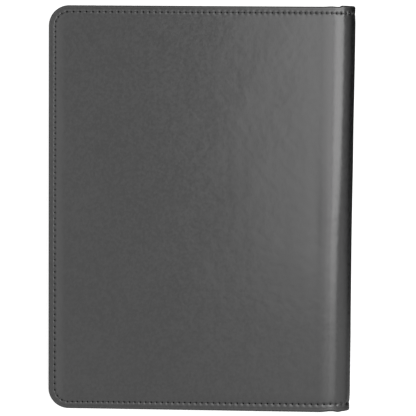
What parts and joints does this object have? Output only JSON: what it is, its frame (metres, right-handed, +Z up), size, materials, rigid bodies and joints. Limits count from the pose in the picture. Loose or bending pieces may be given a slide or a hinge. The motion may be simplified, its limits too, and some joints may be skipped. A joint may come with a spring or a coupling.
{
  "type": "document portfolio",
  "caption": "Closed padded leather document portfolio with a rolled spine, a gusseted pocket, card pockets, a pen loop and a writing pad inside.",
  "frame": {"origin": "on the table, below the middle of the closed portfolio, which lies on its front cover", "axes": "+X towards the spine, +Y towards the head, +Z up, out of the back cover"},
  "size_m": [0.241, 0.32, 0.024],
  "materials": {
    "cover_leather": "satin",
    "pocket_leather": "satin",
    "foam": "matte",
    "greyboard": "matte",
    "lining": "matte",
    "elastic": "matte",
    "paper": "matte",
    "pad_board": "matte",
    "binding_tape": "matte"
  },
  "bodies": {
    "front_cover": {"front_leather": "cover_leather", "front_foam": "foam", "front_board": "greyboard", "front_lining": "lining", "document_pocket_panel": "pocket_leather", "document_pocket_gusset": "pocket_leather", "card_pocket_1": "pocket_leather", "card_pocket_2": "pocket_leather", "card_pocket_3": "pocket_leather", "pen_loop": "elastic"},
    "spine": {"spine_leather": "cover_leather", "spine_reinforcement": "foam", "spine_lining": "lining"},
    "back_cover": {"back_leather": "cover_leather", "back_foam": "foam", "back_board": "greyboard", "back_lining": "lining", "pad_pocket_panel": "pocket_leather", "pad_pocket_welt": "pocket_leather"},
    "writing_pad": {"pad_paper_block": "paper", "pad_backing_board": "pad_board", "pad_binding_tape": "binding_tape"}
  },
  "joints": [
    {"name": "front_fold", "type": "hinge", "parent": "front_cover", "child": "spine", "pos_m": [0.11555, 0, 0.00495], "axis": [0, 1, 0], "range_deg": [0, 90]},
    {"name": "back_fold", "type": "hinge", "parent": "spine", "child": "back_cover", "pos_m": [0.11555, 0, 0.01905], "axis": [0, 1, 0], "range_deg": [0, 90]},
    {"name": "pad_slide", "type": "slide", "parent": "back_cover", "child": "writing_pad", "axis": [0, 1, 0], "range_m": [0, 0.27]}
  ]
}
